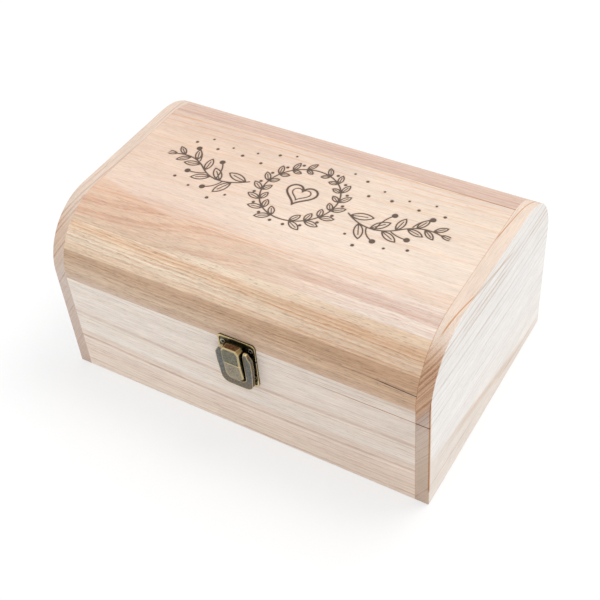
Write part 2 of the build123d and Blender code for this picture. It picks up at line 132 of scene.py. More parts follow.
def board_look(tree, place, normal, figure):
    """Colour and relief of one sawn board. Its growth height, in mm, is the height across the grain,
    less the drift of the lines along the board, plus the lean of the rings through its thickness,
    plus a slow wander. Bands of tone and single growth lines are laid over that height."""
    grain = figure["grain"]
    rise = figure["rise"]
    seed = figure["seed"]
    tones = figure["tones"]
    low = tones[0][0]
    high = tones[-1][0]
    along = add(tree, "VectorMath", {0: place, 1: grain}, operation="DOT_PRODUCT")
    height = add(tree, "VectorMath", {0: place, 1: rise}, operation="DOT_PRODUCT")
    depth = add(tree, "VectorMath", {0: place, 1: grain.cross(rise)}, operation="DOT_PRODUCT")
    board = add(tree, "CombineXYZ", {0: along, 1: height, 2: depth})
    moved = add(tree, "VectorMath", {0: board, 1: (seed, 1.7 * seed, 0.6 * seed)}, operation="ADD")

    # slow wander of the growth lines
    stretched = add(tree, "VectorMath", {0: moved, 1: wander_size}, operation="DIVIDE")
    wave = add(tree, "TexNoise", {"Vector": stretched, "Scale": 1.0, "Detail": 2.0})
    most = figure["wander"]
    wander = add(tree, "MapRange", {0: wave, 1: 0.2, 2: 0.8, 3: -most, 4: most}, clamp=False)

    # drift of the lines along the board, and lean of the rings behind its face
    drift_points = figure["drift"]
    start = drift_points[0][0]
    end = drift_points[-1][0]
    travelled = add(tree, "MapRange", {0: along, 1: start, 2: end})
    drift = add(tree, "FloatCurve", {"Value": travelled})
    curve = drift.mapping.curves[0]
    curve.points[0].location = (0, 0.5 + drift_points[0][1] / drift_span)
    curve.points[1].location = (1, 0.5 + drift_points[-1][1] / drift_span)
    for station, shift in drift_points[1:-1]:
        curve.points.new((station - start) / (end - start), 0.5 + shift / drift_span)
    drift.mapping.update()
    drifted = add(tree, "MapRange", {0: drift, 3: drift_span / 2, 4: -drift_span / 2}, clamp=False)
    lean = figure["lean"]
    at_face = -lean * figure["face"]
    leant = add(tree, "Math", {0: depth, 1: lean, 2: at_face}, operation="MULTIPLY_ADD")
    growth = add(tree, "Math", {0: height, 1: drifted}, operation="ADD")
    growth = add(tree, "Math", {0: growth, 1: wander}, operation="ADD")
    growth = add(tree, "Math", {0: growth, 1: leant}, operation="ADD")

    # fibres, which fray the growth lines
    stretched = add(tree, "VectorMath", {0: moved, 1: fibre_size}, operation="DIVIDE")
    fibres = add(tree, "TexNoise", {"Vector": stretched, "Scale": 1.0, "Detail": 2.0, "Roughness": 0.6})
    fray = figure["fray"]
    frayed = add(tree, "MapRange", {0: fibres, 1: 0.2, 2: 0.8, 3: -fray, 4: fray}, clamp=False)
    growth = add(tree, "Math", {0: growth, 1: frayed}, operation="ADD")
    share = add(tree, "MapRange", {0: growth, 1: low, 2: high})

    tone = add(tree, "ValToRGB", {"Fac": share})
    fill_ramp(tone, band_stops(tones, low, high))
    lines = add(tree, "ValToRGB", {"Fac": share})
    fill_ramp(lines, line_stops(figure["lines"], low, high))

    # growth lines come and go along the board, in patches
    stretched = add(tree, "VectorMath", {0: moved, 1: patch_size}, operation="DIVIDE")
    patches = add(tree, "TexNoise", {"Vector": stretched, "Scale": 1.0, "Detail": 2.0})
    patchy = add(tree, "MapRange", {0: patches, 1: 0.32, 2: 0.6, 3: 0.4})
    strong = add(tree, "Math", {0: lines, 1: patchy}, operation="MULTIPLY")

    # faint yearly lines 1 to 3 mm apart
    shifted = add(tree, "Math", {0: growth, 1: seed}, operation="ADD")
    yearly = add(
        tree,
        "TexNoise",
        {"W": shifted, "Scale": 0.8, "Detail": 3.0, "Roughness": 0.6},
        noise_dimensions="1D",
    )
    faint = add(tree, "MapRange", {0: yearly, 1: 0.5, 2: 0.75, 4: figure["faint"]})
    faint = add(tree, "Math", {0: faint, 1: patchy}, operation="MULTIPLY")
    marks = add(tree, "Math", {0: strong, 1: faint}, operation="ADD", use_clamp=True)
    colour = add(tree, "Mix", {0: marks, 6: tone, 7: linear(figure["late"])}, data_type="RGBA")

    # clouds of deeper colour and open pores
    stretched = add(tree, "VectorMath", {0: moved, 1: cloud_size}, operation="DIVIDE")
    clouds = add(tree, "TexNoise", {"Vector": stretched, "Scale": 1.0, "Detail": 2.0})
    stretched = add(tree, "VectorMath", {0: moved, 1: pore_size}, operation="DIVIDE")
    dashes = add(tree, "TexNoise", {"Vector": stretched, "Scale": 1.0, "Detail": 0.0})
    pores = add(tree, "MapRange", {0: dashes, 1: 0.64, 2: 0.78, 4: figure["pores"]})
    soft = figure["fibre"]
    light = add(tree, "MapRange", {0: fibres, 1: 0.25, 2: 0.75, 3: 1 - soft, 4: 1 + soft})
    cloudy = add(tree, "MapRange", {0: clouds, 1: 0.25, 2: 0.75, 3: 0.955, 4: 1.045})
    light = add(tree, "Math", {0: light, 1: cloudy}, operation="MULTIPLY")
    light = add(tree, "Math", {0: light, 1: pores}, operation="SUBTRACT")
    colour = add(tree, "VectorMath", {0: colour, "Scale": light}, operation="SCALE")

    # tints laid over part of the board: each covers what lies past all its edges, and waves a little
    for edges, tint in figure["tints"]:
        cover = None
        for toward, start, blend, wave_share in edges:
            reach = add(tree, "VectorMath", {0: place, 1: toward}, operation="DOT_PRODUCT")
            reach = add(tree, "Math", {0: wander, 1: wave_share, 2: reach}, operation="MULTIPLY_ADD")
            past = add(
                tree,
                "MapRange",
                {0: reach, 1: start, 2: start + blend},
                interpolation_type="SMOOTHSTEP",
            )
            if cover is None:
                cover = past
            else:
                cover = add(tree, "Math", {0: cover, 1: past}, operation="MULTIPLY")
        colour = add(
            tree, "Mix", {0: cover, 6: colour, 7: linear(tint)}, data_type="RGBA", blend_type="MULTIPLY"
        )

    # cut across the grain, the open tubes drink light and the wood turns darker
    facing = add(tree, "VectorMath", {0: normal, 1: grain}, operation="DOT_PRODUCT")
    facing = add(tree, "Math", {0: facing}, operation="ABSOLUTE")
    cut_across = add(tree, "MapRange", {0: facing, 1: 0.42, 2: 0.8}, interpolation_type="SMOOTHSTEP")
    dark = add(tree, "ValToRGB", {"Fac": share})
    fill_ramp(dark, band_stops(figure["end_tones"], low, high))
    colour = add(
        tree, "Mix", {0: cut_across, 6: colour, 7: dark}, data_type="RGBA", blend_type="MULTIPLY"
    )
    rings = add(tree, "MapRange", {0: yearly, 1: 0.4, 2: 0.72, 4: 0.75})
    rings = add(tree, "Math", {0: rings, 1: lines}, operation="MAXIMUM")
    rings = add(tree, "Math", {0: rings, 1: cut_across}, operation="MULTIPLY")
    ring_shade = add(tree, "ValToRGB", {"Fac": share})
    fill_ramp(ring_shade, band_stops(figure["rings"], low, high))
    colour = add(
        tree, "Mix", {0: rings, 6: colour, 7: ring_shade}, data_type="RGBA", blend_type="MULTIPLY"
    )
    relief = add(tree, "Math", {0: fibres, 1: 0.6}, operation="MULTIPLY")
    relief = add(tree, "Math", {0: relief, 1: pores}, operation="SUBTRACT")
    return colour, relief


def sanded_wood(name, figures, seams=(), drawing=False):
    """Sawn and sanded paulownia: pale, matt and silky, with thin growth lines, short open pores and
    darker end grain. Staves glued edge to edge change at the seams, each a distance in mm along a
    direction. The drawing is burnt in where the board's own line_distance attribute is below zero:
    black-brown lines with a scorched halo about 1 mm wide."""
    material, tree = start_material(name)
    coordinates = add(tree, "TexCoord")
    place = add(tree, "VectorMath", {0: coordinates.outputs["Object"], "Scale": 1 / MM}, operation="SCALE")
    normal = coordinates.outputs["Normal"]
    colour, relief = board_look(tree, place, normal, figures[0])
    for (direction, seam), figure in zip(seams, figures[1:]):
        reach = add(tree, "VectorMath", {0: place, 1: direction}, operation="DOT_PRODUCT")
        next_colour, next_relief = board_look(tree, place, normal, figure)
        past = add(tree, "MapRange", {0: reach, 1: seam - 0.2, 2: seam + 0.2})
        colour = add(tree, "Mix", {0: past, 6: colour, 7: next_colour}, data_type="RGBA")
        relief = add(tree, "Mix", {0: past, 2: relief, 3: next_relief})
    roughness = add(tree, "MapRange", {0: relief, 1: 0.0, 2: 0.6, 3: 0.52, 4: 0.66})
    if drawing:
        distance = add(tree, "Attribute", attribute_name="line_distance").outputs["Fac"]
        scorch = add(
            tree,
            "MapRange",
            {0: distance, 1: 1.1, 2: 0.1, 4: 0.22},
            interpolation_type="SMOOTHSTEP",
        )
        colour = add(
            tree,
            "Mix",
            {0: scorch, 6: colour, 7: linear("#B07B4F")},
            data_type="RGBA",
            blend_type="MULTIPLY",
        )
        char = add(tree, "MapRange", {0: relief, 1: 0.1, 2: 0.5})
        burnt = add(tree, "Mix", {0: char, 6: linear("#3B2E25"), 7: linear("#5E4A3B")}, data_type="RGBA")
        line = add(tree, "MapRange", {0: distance, 1: 0.14, 2: -0.1, 4: 0.96})
        colour = add(tree, "Mix", {0: line, 6: colour, 7: burnt}, data_type="RGBA")
    bump = add(tree, "Bump", {"Strength": 0.35, "Distance": 0.12 * MM, "Height": relief})
    shader = add(
        tree,
        "BsdfPrincipled",
        {"Base Color": colour, "Roughness": roughness, "Normal": bump, "IOR": 1.5},
    )
    add(tree, "OutputMaterial", {"Surface": shader})
    return material


def board_figure(grain, rise, tones, lines, **changes):
    """One board's figure, plain but for its changes. Tones are pairs of growth height in mm and
    colour; lines are growth height, strength (0 to 1) and width in mm, at most ten on a board. A
    tint is a list of edges and a colour that multiplies what lies past them all. Each edge is a
    direction, the distance in mm where it starts, the mm that it blends over, and how much of the
    growth lines' wander it follows."""
    plain = {
        "grain": grain,
        "rise": rise,
        "tones": tones,
        "lines": lines,
        "drift": [(-150, 0), (150, 0)],  # place along the board and shift of the lines, in mm
        "wander": 1.5,  # mm
        "fray": 0.7,  # mm
        "lean": 0.6,  # shift of the rings for each mm behind the face
        "face": 0.0,  # distance of the face from the middle of the box, in mm
        "seed": 0.0,  # another place in the patterns, so that no two boards match
        "faint": 0.3,  # strength of the yearly lines
        "fibre": 0.09,  # strength of the fibres
        "pores": 0.12,  # strength of the pores
        "late": "#B98E74",  # colour of the growth lines
        "rings": [(tones[0][0], "#E6D8CC")],  # colour of the lines on end grain
        "end_tones": [(tones[0][0], "#C9B9AC")],  # colour of end grain
        "tints": [],
    }
    return {**plain, **changes}


# edges of tints that several boards share
right_glue_line = (ALONG, 139.4, 0.4, 0)
left_glue_line = (-ALONG, 139.5, 0.4, 0)
toward_right = (ALONG, -100, 240, 0)
on_right_face = (ALONG, 149.5, 0.3, 0)

front_panel = board_figure(
    ALONG,
    UP,
    [
        (-8, "#EEDDCE"),
        (8, "#F0E0D0"),
        (16, "#EDDCCD"),
        (27, "#F0E2D5"),
        (31, "#E9DACC"),
        (35, "#E9DCD0"),
        (38, "#F0E7DD"),
        (41, "#EEE4D9"),
        (45, "#EDE2D6"),
        (52, "#EDE2D6"),
        (55.5, "#E7D9CD"),
        (61, "#ECE1D6"),
        (70, "#ECE1D6"),
        (100, "#E9DED2"),
    ],
    [
        (2.5, 0.6, 1.2),
        (9.8, 0.5, 1.0),
        (12.8, 0.5, 1.2),
        (19.0, 0.4, 1.1),
        (24.0, 0.2, 2.5),
        (28.7, 0.68, 2.6),
        (33.2, 0.3, 1.5),
        (54.5, 0.5, 3.0),
        (66, 0.2, 2.0),
        (77, 0.1, 2.0),
    ],
    drift=[(-150, 5.6), (-80, 2.6), (-20, 0.6), (25, 0.0), (80, 1.2), (150, 3.2)],
    wander=1.0,
    face=98.0,
    seed=3.0,
    faint=0.5,
    fibre=0.12,
    pores=0.16,
    late="#B58A75",
    tints=[
        # lips of the saw cut: painted shade of the gap between lid and base, darker and darker towards the
        # right
        (
            [
                (UP, 80.6, 0.25, 0),
                (-UP, -81.4, 0.25, 0),
                (ALONG, 10, 110, 0),
                (-BACK, 97.5, 0.3, 0),
            ],
            "#B27F58",
        ),
        # painted shade: the panel darkens a little towards the right, as the light falls
        ([toward_right], "#F4F0EE"),
        # the lid's strip darkens below the shoulder, on the right
        ([(UP, 86.0, 3.0, 0), (ALONG, 60, 70, 0)], "#F0EFEC"),
        ([right_glue_line], "#DCC8BA"),
    ],
)
back_panel = {
    **front_panel,
    "face": -98.0,
    "seed": 57.0,
    "drift": [(-150, -3.0), (-60, 0.0), (40, 4.0), (150, 1.0)],
}
bottom_panel = {
    **front_panel,
    "rise": BACK,
    "face": 0.0,
    "seed": 83.0,
    "tones": [(-100, "#DDC9BA"), (100, "#E4D6C9")],
}
shoulder_low_board = board_figure(
    ALONG,
    SLANT,
    [
        (-6, "#D2B9A5"),
        (1, "#D3B8A0"),
        (3, "#D8BEA4"),
        (9, "#D5B79C"),
        (13, "#CEAD90"),
        (15, "#C9A98C"),
        (24, "#C8A68B"),
    ],
    [
        (0.5, 0.4, 1.2),
        (2.5, 0.3, 1.0),
        (5.0, 0.35, 1.2),
        (7.2, 0.2, 1.0),
        (9.3, 0.5, 1.2),
        (11.4, 0.35, 1.0),
        (13.2, 0.45, 1.0),
        (15.2, 0.35, 1.0),
    ],
    drift=[(-150, 0.5), (0, 0.0), (150, -0.5)],
    wander=1.2,
    lean=0.2,
    face=139.0,
    seed=11.0,
    faint=0.6,
    fibre=0.19,
    pores=0.36,
    fray=0.9,
    late="#94704F",
    tints=[
        # a short open check that runs out of the right end
        (
            [
                (SLANT + 0.04 * ALONG, 11.1, 0.25, 0),
                (-SLANT - 0.04 * ALONG, -12.0, 0.25, 0),
                (ALONG, 104, 14, 0),
            ],
            "#6A6062",
        ),
        ([right_glue_line], "#DDC6B4"),
        ([toward_right], "#F6EDE4"),
    ],
)
shoulder_middle_board = board_figure(
    ALONG,
    SLANT,
    [
        (12, "#E5CDB2"),
        (19, "#E4CCB1"),
        (22, "#E8CFB5"),
        (27, "#EBDAC4"),
        (31, "#ECDAC3"),
        (35, "#E9D0B4"),
        (38, "#E5CAAE"),
        (41, "#EDDBC5"),
    ],
    [
        (19.0, 0.35, 1.2),
        (21.5, 0.3, 1.0),
        (24.0, 0.45, 1.2),
        (27.5, 0.4, 1.2),
        (31.0, 0.45, 1.2),
        (33.3, 0.5, 1.2),
        (36.0, 0.7, 1.5),
        (37.8, 0.45, 1.0),
        (39.5, 0.4, 1.2),
    ],
    drift=[(-150, 1.5), (-40, 0.0), (150, -2.5)],
    wander=1.2,
    lean=0.2,
    face=139.0,
    seed=15.0,
    faint=0.5,
    fibre=0.17,
    pores=0.34,
    fray=1.0,
    late="#C0814E",
    tints=[
        ([right_glue_line], "#DFC4AE"),
        ([toward_right], "#EEE3DA"),
        # a duller band below the upper seam, on the left
        ([(SLANT, 38.2, 1.0, 0.4), (-ALONG, 20, 50, 0)], "#E8DBD3"),
    ],
)
shoulder_high_board = board_figure(
    ALONG,
    SLANT,
    [
        (20, "#E2CCBC"),
        (43, "#E7D6C8"),
        (54, "#E6D6C8"),
        (64, "#E2CCBC"),
        (90, "#E3D1C1"),
    ],
    [
        (32.0, 0.5, 2.5),
        (38.0, 0.5, 2.0),
        (44.0, 0.2, 2.0),
        (50.0, 0.3, 3.0),
        (56.0, 0.25, 2.5),
        (60.0, 0.4, 2.0),
        (62.5, 0.5, 3.0),
        (70.0, 0.45, 3.0),
    ],
    drift=[(-150, -14.0), (-90, -10.0), (-30, -2.0), (30, 3.0), (150, 4.0)],
    wander=3.0,
    lean=0.2,
    face=139.0,
    seed=19.0,
    faint=0.55,
    fibre=0.16,
    pores=0.22,
    late="#C98F78",
    tints=[
        ([right_glue_line], "#E6CDBD"),
        ([(-ALONG, -110, 130, 0)], "#F5E8DA"),
        # a pink band, on the right
        (
            [
                (SLANT, 49.5, 3.5, 0.3),
                (-SLANT, -58.5, 1.5, 0.3),
                (ALONG, 10, 40, 0),
            ],
            "#F0E6E3",
        ),
    ],
)
top_board = board_figure(
    ALONG,
    BACK,
    [
        (-62, "#DFC8B6"),
        (-50, "#E2CCBB"),
        (-36, "#E7D5C5"),
        (0, "#E4D1C0"),
        (28, "#E3D0BE"),
        (44, "#DFCBBB"),
        (60, "#DDC7B7"),
    ],
    [
        (-53.2, 0.9, 1.2),
        (-49, 0.4, 2.0),
        (-34, 0.2, 2.0),
        (-14, 0.2, 2.0),
        (6, 0.25, 2.0),
        (22, 0.3, 2.0),
        (38, 0.5, 1.5),
        (44, 0.4, 1.5),
        (50, 0.8, 1.5),
    ],
    drift=[(-150, -2.0), (-60, 0.5), (40, 1.0), (150, 6.0)],
    wander=2.0,
    face=142.0,
    seed=23.0,
    faint=0.45,
    fibre=0.12,
    pores=0.16,
    late="#D6A274",
    tints=[
        # past a slanting line across its front left corner the wood is warmer
        ([(-0.225 * ALONG - 0.975 * BACK, 67.5, 3.0, 0.5)], "#FCF3EB"),
        ([right_glue_line], "#EAD2C0"),
        # the glue line at the back shoulder, darker towards the right
        ([(BACK, 53.0, 0.5, 0), (ALONG, -60, 200, 0)], "#C4A28C"),
        ([left_glue_line], "#EBD3C0"),
        ([(-ALONG, -60, 160, 0)], "#F9F2EF"),
    ],
)
shoulder_back_board = board_figure(
    ALONG,
    Vector((0, 1, -1)).normalized(),
    [
        (-70, "#D2B8A8"),
        (-50, "#D1B6A6"),
        (-32, "#D6BDA8"),
        (-12, "#D9C2AB"),
        (10, "#D2BAA4"),
    ],
    [
        (-62, 0.6, 1.5),
        (-59, 0.7, 1.5),
        (-55, 0.8, 1.5),
        (-51, 0.7, 1.5),
        (-47, 0.8, 1.5),
        (-41, 0.6, 2.0),
        (-33, 0.6, 2.0),
        (-24, 0.5, 2.0),
        (-13, 0.6, 2.0),
        (-5, 0.5, 2.0),
    ],
    wander=2.0,
    lean=0.2,
    face=139.0,
    seed=31.0,
    faint=0.6,
    fibre=0.14,
    pores=0.18,
    late="#C0907C",
)
end_board = board_figure(
    BACK,
    UP,
    [(-20, "#EDE6E0"), (30, "#EBE6E1"), (90, "#EBE9E6"), (150, "#E9E5E0")],
    [
        (12, 0.3, 3.0),
        (76, 0.6, 1.5),
        (88, 0.4, 1.5),
        (93, 0.4, 1.5),
        (100, 0.8, 2.0),
        (108, 0.5, 1.5),
        (117, 0.8, 2.0),
        (122, 0.9, 2.0),
        (127, 0.8, 2.0),
        (134, 0.5, 2.0),
    ],
    drift=[(-100, 7.0), (-50, 3.5), (0, 0.0), (50, -3.0), (100, -4.0)],
    wander=1.2,
    lean=-1.5,
    face=150.0,
    seed=41.0,
    faint=0.55,
    fibre=0.11,
    pores=0.14,
    late="#C4AE9F",
    rings=[(-20, "#F3EDE8"), (84, "#EFE6DF"), (96, "#B3916F"), (150, "#C9AC90")],
    end_tones=[
        (-20, "#D9D6D3"),
        (40, "#DDDAD5"),
        (76, "#E1E0E2"),
        (88, "#D2CCCE"),
        (98, "#E7CFB8"),
        (150, "#E7CFB8"),
    ],
    tints=[
        # everything but the outer face: its rounded edges and the board's own edge all round
        ([(-ALONG, -149.95, 0.15, 0)], "#F5E3D5"),
        # the outer face is warmer below a line that falls towards the back, most of all just below
        ([(-UP - 0.22 * BACK, -28.0, 7.0, 1.2), on_right_face], "#F8F3EE"),
        (
            [
                (-UP - 0.22 * BACK, -28.0, 6.0, 1.2),
                (UP + 0.22 * BACK, 13.0, 8.0, 1.2),
                (BACK, -90, 60, 0),
                (-BACK, -75, 50, 0),
                on_right_face,
            ],
            "#F3EAE2",
        ),
        # a streak under the top of the outer face, towards the front
        (
            [
                (UP + 0.22 * BACK, 132.4, 1.4, 0.5),
                (-UP - 0.22 * BACK, -136.2, 1.4, 0.5),
                (-BACK, -34, 16, 0),
                on_right_face,
            ],
            "#EADCD1",
        ),
        # lips of the saw cut at the front: painted shade of the gap between lid and base
        ([(UP, 80.35, 0.3, 0), (-UP, -81.6, 0.3, 0), (-BACK, 97.3, 0.3, 0)], "#B5784A"),
        # two tan growth lines that run a little aslant along the board's upper edge
        (
            [
                (ALONG - 0.1 * BACK, 137.3, 0.4, 0.2),
                (-ALONG + 0.1 * BACK, -138.6, 0.4, 0.2),
                (BACK, 15, 10, 0),
                (UP, 133, 1, 0),
            ],
            "#E0B286",
        ),
        (
            [
                (ALONG - 0.165 * BACK, 154.7, 0.4, 0.2),
                (-ALONG + 0.165 * BACK, -155.9, 0.4, 0.2),
                (BACK, -75, 10, 0),
                (-BACK, 30, 8, 0),
                (-ALONG, -149.7, 0.3, 0),
            ],
            "#E3BB94",
        ),
        # the front corner, rubbed warm above its foot
        ([(ALONG, 149.0, 0.3, 0), (-BACK, 96.6, 0.4, 0), (UP, 12, 5, 0)], "#DDB48E"),
    ],
)
left_end_board = {
    **end_board,
    "face": -150.0,
    "seed": 47.0,
    "rings": [(-20, "#F3EDE8"), (150, "#EEE1D6")],
    "end_tones": [
        (-20, "#EDECEF"),
        (30, "#F1F3F9"),
        (80, "#F4F8FE"),
        (100, "#FEFAF5"),
        (150, "#F9E9DB"),
    ],
    "tints": [([(ALONG, -149.95, 0.15, 0)], "#EFDCCE")],
}

wood_of = {
    "base_front_panel": sanded_wood("sanded_paulownia_front", [front_panel]),
    "base_back_panel": sanded_wood("sanded_paulownia_back", [back_panel]),
    "base_bottom_panel": sanded_wood("sanded_paulownia_bottom", [bottom_panel]),
    "lid_front_shoulder": sanded_wood(
        "sanded_paulownia_front_shoulder",
        [shoulder_low_board, shoulder_middle_board, shoulder_high_board],
        seams=[(SLANT - 0.006 * ALONG, 17.2), (SLANT, 42.3)],
    ),
    "lid_back_shoulder": sanded_wood("sanded_paulownia_back_shoulder", [shoulder_back_board]),
    "base_right_end": sanded_wood("sanded_paulownia_right_end", [end_board]),
    "base_left_end": sanded_wood("sanded_paulownia_left_end", [left_end_board]),
}
wood_of["lid_front_strip"] = wood_of["base_front_panel"]
wood_of["lid_back_strip"] = wood_of["base_back_panel"]
wood_of["lid_right_end"] = wood_of["base_right_end"]
wood_of["lid_left_end"] = wood_of["base_left_end"]
for node, material in wood_of.items():
    nodes[node].data.materials.clear()
    nodes[node].data.materials.append(material)


# ------------------------------------------------------------------ drawing carved in the lid


def leaf(x, y, base, direction, length, width, stroke):
    """Distance to the outline and rib of a leaf: two equal arcs that meet at its base and tip, with
    radius ((length / 2) squared + (width / 2) squared) / width."""
    turn = math.radians(direction)
    forth = (x - base[0]) * math.cos(turn) + (y - base[1]) * math.sin(turn)
    aside = (y - base[1]) * math.cos(turn) - (x - base[0]) * math.sin(turn)
    half = length / 2
    radius = (half**2 + (width / 2) ** 2) / width
    centre = radius - width / 2
    edge = np.hypot(forth - half, np.abs(aside) + centre) - radius
    outline = np.abs(edge + stroke / 2) - stroke / 2
    rib = np.hypot(forth - np.clip(forth, 0, 0.72 * length), aside) - 0.4 * stroke
    return np.minimum(outline, rib)


def stroke_line(x, y, points, width):
    """Distance to a bent line of the given width: to the nearest of its straight pieces."""
    points = np.asarray(points, float)
    nearest = np.full(x.shape, np.inf)
    for start, end in zip(points[:-1], points[1:]):
        run = end - start
        share = ((x - start[0]) * run[0] + (y - start[1]) * run[1]) / (run @ run)
        share = np.clip(share, 0, 1)
        off = np.hypot(x - start[0] - share * run[0], y - start[1] - share * run[1])
        nearest = np.minimum(nearest, off)
    return nearest - width / 2


def dot(x, y, centre, radius):
    """Distance to a filled round dot."""
    return np.hypot(x - centre[0], y - centre[1]) - radius


def bent(start, pull, end, count=24):
    """Points on a quadratic curve from start to end, drawn towards pull: for t from 0 to 1,
    (1 - t) squared of start, 2t (1 - t) of pull and t squared of end."""
    t = np.linspace(0, 1, count)[:, None]
    return (1 - t) ** 2 * np.array(start) + 2 * t * (1 - t) * np.array(pull) + t**2 * np.array(end)


wreath_centre = np.array((0.0, 5.0))
wreath_radius = 28.5
berry_out = 4.5  # from the wreath's stem to its berries
line_width = 1.05
heart_size = 0.72
heart_height = 5.5
heart_middle = np.array((0, 6.0))
inner_heart = 0.6  # size of the small heart against the large one


def drawing_distance(x, y):
    """Distance in mm from each point to the nearest burnt line: a wreath of leaves round a heart,
    with a leafy branch on each side. One half is worked out and mirrored across x = 0."""
    x = np.abs(x)
    pieces = []
    # wreath: a round stem with leaves outside and inside, growing from the foot to the top
    from_centre = np.hypot(x - wreath_centre[0], y - wreath_centre[1])
    pieces.append(np.abs(from_centre - wreath_radius) - line_width / 2)
    for station, angle in enumerate(np.linspace(-76, 70, 8)):
        turn = math.radians(angle)
        foot = wreath_centre + wreath_radius * np.array((math.cos(turn), math.sin(turn)))
        size = 12.5 - 0.35 * station
        pieces.append(leaf(x, y, foot, angle + 48, size, 0.45 * size, 0.95))
        pieces.append(leaf(x, y, foot, angle + 136, size - 2.5, 0.42 * size, 0.95))
        turn = math.radians(angle - 5)
        out = wreath_radius + berry_out
        berry = wreath_centre + out * np.array((math.cos(turn), math.sin(turn)))
        pieces.append(dot(x, y, berry, 1.2))
    # heart: across, 16 times the cube of sin t, and up, 13 cos t - 5 cos 2t - 2 cos 3t - cos 4t
    t = np.linspace(0, math.pi, 40)
    across = 16 * np.sin(t) ** 3
    up = 13 * np.cos(t) - 5 * np.cos(2 * t) - 2 * np.cos(3 * t) - np.cos(4 * t)
    heart = np.stack((heart_size * across, heart_size * up + heart_height), axis=1)
    small_heart = inner_heart * heart + (1 - inner_heart) * heart_middle
    pieces.append(stroke_line(x, y, heart, 1.5))
    pieces.append(stroke_line(x, y, small_heart, 0.9))
    # branch: a bent stem with leaves on either side in turn, and four stalks with berries
    branch = np.concatenate((bent((40, 2), (62, -14), (80, 2)), bent((80, 2), (92, 12), (106, 8))[1:]))
    pieces.append(stroke_line(x, y, branch, line_width))
    for station, share in enumerate(np.linspace(0.04, 0.92, 9)):
        index = int(share * (len(branch) - 2))
        foot = branch[index]
        ahead = branch[index + 1] - foot
        heading = math.degrees(math.atan2(ahead[1], ahead[0]))
        side = 1 if station % 2 == 0 else -1
        size = 17.5 - 0.75 * station
        pieces.append(leaf(x, y, foot, heading + side * 46, size, 0.42 * size, 1.0))
    pieces.append(leaf(x, y, branch[-1], -8, 10.5, 4.6, 0.95))
    for stem, pull, berry in (
        ((58, -6.0), (60, -14), (68, -17)),
        ((75, -3.0), (80, -6), (88, -6)),
        ((64, -6.2), (64, 6), (70, 13)),
        ((86, 7.5), (88, 16), (95, 20)),
    ):
        pieces.append(stroke_line(x, y, bent(stem, pull, berry, 10), 0.95))
        pieces.append(dot(x, y, berry, 2.2))
    # loose dots round it all
    for place, radius in (
        ((44, 24), 1.2),
        ((52, 33), 0.9),
        ((61, 26), 1.3),
        ((72, 31), 0.9),
        ((82, 25), 1.2),
        ((91, 34), 0.9),
        ((101, 26), 1.2),
        ((48, -18), 1.0),
        ((58, -26), 1.3),
        ((78, -20), 1.0),
        ((93, -15), 1.2),
        ((36, 38), 1.2),
        ((24, 42), 0.9),
    ):
        pieces.append(dot(x, y, place, radius))
    return np.minimum.reduce(pieces)


def carved_board():
    """The lid's top board as one closed surface. Its top is a grid, fine under the drawing. Its
    height is the spring of the shoulders, plus the root of their radius squared less the distance
    past the flat squared, less the groove: its depth times 3 f squared less 2 f cubed, where f grows
    from 0 to 1 across the edge of a line. The underside has the same section, a board's thickness
    further in, and the four sides are upright."""
    low, high = (np.array(corner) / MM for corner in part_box("lid_top_board"))
    groove_depth = 0.3
    groove_start = 0.15  # outside a line's edge
    groove_slope = 0.6  # width over which the groove falls to its full depth
    shoulder_radius = 48.0
    half_flat = 50.0
    board = 10.0
    unmarked = 10.0  # distance given to the underside, far from any line
    spring = high[2] - shoulder_radius
    fine_x = np.arange(-112, 112.1, 0.56)
    fine_y = np.arange(-32, 48.1, 0.5)
    x_lines = np.concatenate((np.linspace(low[0], -113, 4), fine_x, np.linspace(113, high[0], 4)))
    y_lines = np.concatenate((np.linspace(low[1], -33, 4), fine_y, np.linspace(49, high[1], 3)))
    x, y = np.meshgrid(x_lines, y_lines, indexing="ij")
    distance = drawing_distance(x, y)
    fall = np.clip((groove_start - distance) / groove_slope, 0, 1)
    groove = groove_depth * fall**2 * (3 - 2 * fall)
    past_flat = np.clip(np.abs(y) - half_flat, 0, None)
    z = spring + np.sqrt(shoulder_radius**2 - past_flat**2) - groove
    top = np.stack((x, y, z), axis=-1)
    index = np.arange(x.size).reshape(x.shape)
    quads = np.stack((index[:-1, :-1], index[1:, :-1], index[1:, 1:], index[:-1, 1:]), axis=-1)
    # the underside runs straight from end to end, so it has points at its two ends only
    under_z = spring + np.sqrt((shoulder_radius - board) ** 2 - past_flat**2)
    ends = np.array((0, -1))
    under = np.stack((x[ends], y[ends], under_z[ends]), axis=-1).reshape(-1, 3)
    left = x.size + np.arange(len(y_lines))
    right = left + len(y_lines)
    under_quads = np.stack((left[:-1], left[1:], right[1:], right[:-1]), axis=-1)
    left_wall = np.stack((index[0, :-1], index[0, 1:], left[1:], left[:-1]), axis=-1)
    right_wall = np.stack((right[:-1], right[1:], index[-1, 1:], index[-1, :-1]), axis=-1)
    front_wall = [left[0], right[0], *index[::-1, 0]]
    back_wall = [right[-1], left[-1], *index[:, -1]]
    points = np.concatenate((top.reshape(-1, 3), under)) * MM
    faces = np.concatenate((quads.reshape(-1, 4), under_quads, left_wall, right_wall)).tolist()
    faces += [[int(corner) for corner in wall] for wall in (front_wall, back_wall)]
    mesh = bpy.data.meshes.new("lid_carved_top")
    mesh.from_pydata(points.tolist(), [], faces)
    mesh.shade_smooth()
    mesh.set_sharp_from_angle(angle=math.radians(60))
    known = np.concatenate((distance.ravel(), np.full(len(under), unmarked)))
    mesh.attributes.new("line_distance", "FLOAT", "POINT").data.foreach_set("value", known)
    piece = bpy.data.objects.new("lid_carved_top", mesh)
    bpy.context.scene.collection.objects.link(piece)
    return piece


